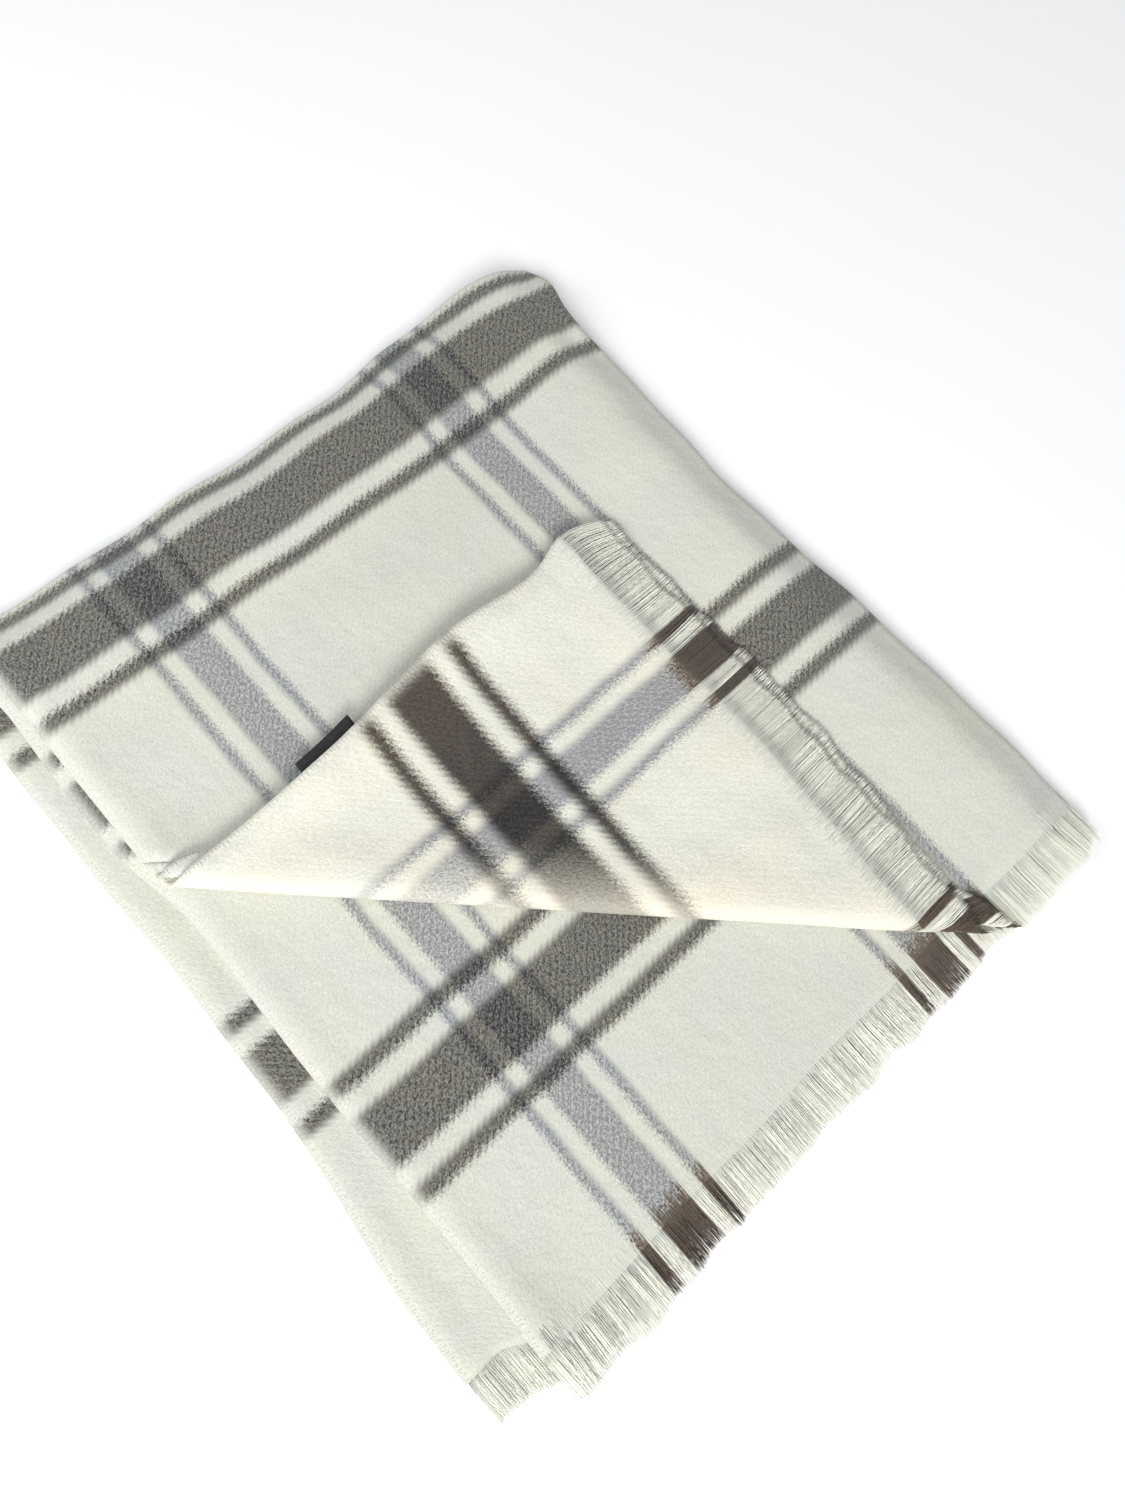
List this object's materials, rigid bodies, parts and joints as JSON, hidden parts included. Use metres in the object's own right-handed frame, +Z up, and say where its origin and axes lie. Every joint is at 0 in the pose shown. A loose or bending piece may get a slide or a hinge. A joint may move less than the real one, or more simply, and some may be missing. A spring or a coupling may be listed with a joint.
{
  "type": "camp blanket",
  "caption": "Fringed plaid wool blanket, folded in half both ways, with a corner turned back; opens at the width fold and at the corner.",
  "frame": {"origin": "bottom centre of the folded pack's bounding box, on the floor", "axes": "+X from the length fold to the fringe, +Y from the free selvedges to the width fold, +Z up"},
  "size_m": [0.76, 0.657, 0.0398],
  "materials": {
    "napped_wool": "brushed twill, cream with charcoal and lilac-grey plaid",
    "fringe_yarn": "loose wool yarn, cream and brown",
    "selvedge_thread": "light grey sewing thread",
    "label_ribbon": "black woven ribbon",
    "label_thread": "black sewing thread"
  },
  "bodies": {
    "lower_leaf": {"panel_layer_3": "napped_wool", "panel_layer_4": "napped_wool", "width_fold": "napped_wool", "length_fold_lower": "napped_wool", "fringe_layer_3": "fringe_yarn", "fringe_layer_4": "fringe_yarn", "selvedge_stitches_lower": "selvedge_thread"},
    "upper_leaf": {"panel_layer_1": "napped_wool", "panel_layer_2": "napped_wool", "length_fold_upper": "napped_wool", "corner_crease": "napped_wool", "fringe_layer_1": "fringe_yarn", "fringe_layer_2": "fringe_yarn", "selvedge_stitches_upper": "selvedge_thread"},
    "turned_corner": {"corner_layer_1": "napped_wool", "corner_layer_2": "napped_wool", "corner_fringe_1": "fringe_yarn", "corner_fringe_2": "fringe_yarn", "selvedge_stitches_corner": "selvedge_thread", "label": "label_ribbon", "label_stitches": "label_thread"}
  },
  "joints": [
    {"name": "leaf_fold", "type": "hinge", "parent": "lower_leaf", "child": "upper_leaf", "pos_m": [0, 0.3153, 0.0132], "axis": [-1, 0, 0], "range_deg": [0, 170]},
    {"name": "corner_fold", "type": "hinge", "parent": "upper_leaf", "child": "turned_corner", "pos_m": [0.11, -0.0605, 0.0266], "axis": [0.7071, 0.7071, 0], "range_deg": [0, 175]}
  ]
}
